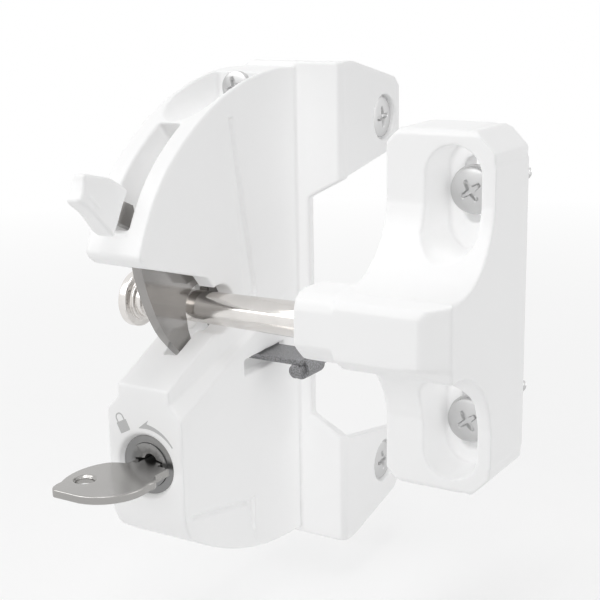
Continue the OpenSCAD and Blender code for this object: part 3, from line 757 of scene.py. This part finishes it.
def arrowOutline(v):
    # a band round the centre whose width grows from tail to head, then the head
    t = np.linspace(0, 1, v["points"])
    angle = np.radians(v["from"] + (v["to"] - v["from"]) * t)
    half = ((v["width"][0] + (v["width"][1] - v["width"][0]) * t) / 2)[:, None]
    c = np.array(v["centre"])
    way = np.c_[np.cos(angle), np.sin(angle)]
    outer, inner = c + (v["radius"] + half) * way, c + (v["radius"] - half) * way
    return np.r_[outer, [polar(c, *v["barb"])], [polar(c, *v["tip"])], inner[::-1]]


def padlockOutlines(v):
    # a body with rounded corners and the bow that stands on it, both leaning
    w, h = (side / 2 for side in v["size"])
    r = v["corner"]
    k = np.radians(np.arange(0, 91, 30))
    body = np.concatenate([
        np.c_[w - r + r * np.cos(k), h - r + r * np.sin(k)],
        np.c_[-w + r - r * np.sin(k), h - r + r * np.cos(k)],
        np.c_[-w + r - r * np.cos(k), -h + r - r * np.sin(k)],
        np.c_[w - r + r * np.sin(k), -h + r - r * np.cos(k)]])
    s = np.radians(np.linspace(0, 180, 25))
    top, foot = h + v["legs"], h - v["foot"]

    def arch(b):
        return np.r_[[[b, foot]], np.c_[b * np.cos(s), top + b * np.sin(s)], [[-b, foot]]]

    bow = np.r_[arch(v["bow"] + v["stroke"] / 2), arch(v["bow"] - v["stroke"] / 2)[::-1]]
    ca, sa = np.cos(radians(v["lean"])), np.sin(radians(v["lean"]))
    return [np.array(v["centre"]) + q @ np.array([[ca, sa], [-sa, ca]]) for q in (body, bow)]


raised("turn_arrow", arrowOutline(arrowSign))
for name, outline in zip(("padlock_body", "padlock_bow"), padlockOutlines(padlockSign)):
    raised(name, outline)
print("signs made")

studio = {
    "worldLight": 0.425, "aim": (0, -0.03, 0),
    "key": {"place": (-0.52, -0.88, 0.78), "size": 0.9, "power": 6.9, "shadow": False},
    "side": {"place": (1.15, 0.42, 0.32), "size": 0.9, "power": 3.9, "shadow": False},
    "top": {"place": (0.0, -0.25, 1.1), "size": 0.45, "power": 2.9, "shadow": True},
    "floor": -0.088, "floorEnds": ((-40, -40), (40, -40), (40, 90), (-40, 90)),
    "glow": (0.55, 1.0),       # share of plain white in the floor, near the object and far off
    "fade": (0.16, 0.75),      # distances in m between which the one becomes the other
    "bounces": {"diffuse": 10, "all": 14},
}


def areaLight(name, s, aimAt):
    d = bpy.data.lights.new(name, "AREA")
    d.size = s["size"]
    d.energy = s["power"]
    d.use_shadow = s["shadow"]
    o = bpy.data.objects.new(name, d)
    bpy.context.collection.objects.link(o)
    o.location = s["place"]
    aim = Vector(aimAt) - Vector(s["place"])
    o.rotation_euler = aim.to_track_quat("-Z", "Y").to_euler()


def seenDirectly(tree):
    # 1 for rays from the camera, in reflections and through glass
    path = tree.nodes.new("ShaderNodeLightPath")
    most = path.outputs["Is Camera Ray"]
    for kind in ("Is Glossy Ray", "Is Transmission Ray"):
        m = tree.nodes.new("ShaderNodeMath")
        m.operation = "MAXIMUM"
        tree.links.new(most, m.inputs[0])
        tree.links.new(path.outputs[kind], m.inputs[1])
        most = m.outputs["Value"]
    return most


def plainWhite(tree, kind, strength):
    # a white background or emission shader
    n = tree.nodes.new(kind)
    n.inputs["Color"].default_value = (1, 1, 1, 1)
    n.inputs["Strength"].default_value = strength
    return n.outputs[0]


def mixed(tree, share, first, second, output):
    # the output shows the first shader, and the second by its share
    n = tree.nodes.new("ShaderNodeMixShader")
    tree.links.new(share, n.inputs["Fac"])
    tree.links.new(first, n.inputs[1])
    tree.links.new(second, n.inputs[2])
    tree.links.new(n.outputs["Shader"], tree.nodes[output].inputs["Surface"])


def makeWorld(s):
    # lights the part softly, and is plain white where it is seen directly
    w = bpy.data.worlds.new("studio")
    bpy.context.scene.world = w
    w.use_nodes = True
    t = w.node_tree
    t.nodes.remove(t.nodes["Background"])
    light = plainWhite(t, "ShaderNodeBackground", s["worldLight"])
    mixed(t, seenDirectly(t), light, plainWhite(t, "ShaderNodeBackground", 1.0), "World Output")


def makeFloor(s):
    # pale and matt, turning plain white away from the part where it is seen directly
    mesh = bpy.data.meshes.new("floor")
    mesh.from_pydata([(x, y, s["floor"]) for x, y in s["floorEnds"]], [], [(0, 1, 2, 3)])
    floor = bpy.data.objects.new("floor", mesh)
    bpy.context.collection.objects.link(floor)
    m, t, b = newMaterial("paleFloor", (0.9, 0.9, 0.9), 0, 0.9)
    g = noise(t, 30, 2)
    pale = tint(t, g.outputs["Fac"], (0.895, 0.895, 0.895), (0.905, 0.905, 0.905))
    t.links.new(pale, b.inputs["Base Color"])
    tc = t.nodes.new("ShaderNodeTexCoord")
    far = t.nodes.new("ShaderNodeVectorMath")
    far.operation = "LENGTH"
    t.links.new(tc.outputs["Object"], far.inputs[0])
    part = t.nodes.new("ShaderNodeMath")
    part.operation = "MULTIPLY"
    t.links.new(spread(t, far.outputs["Value"], *s["glow"], *s["fade"]), part.inputs[1])
    t.links.new(seenDirectly(t), part.inputs[0])
    glow = plainWhite(t, "ShaderNodeEmission", 1.0)
    mixed(t, part.outputs["Value"], b.outputs["BSDF"], glow, "Material Output")
    mesh.materials.append(m)


setCamera(cameraView)
makeWorld(studio)
for name in ("key", "side", "top"):
    areaLight(name + "Light", studio[name], studio["aim"])
makeFloor(studio)
scene = bpy.context.scene
scene.view_settings.view_transform = "Standard"
scene.cycles.diffuse_bounces = studio["bounces"]["diffuse"]
scene.cycles.max_bounces = studio["bounces"]["all"]
print("studio set")
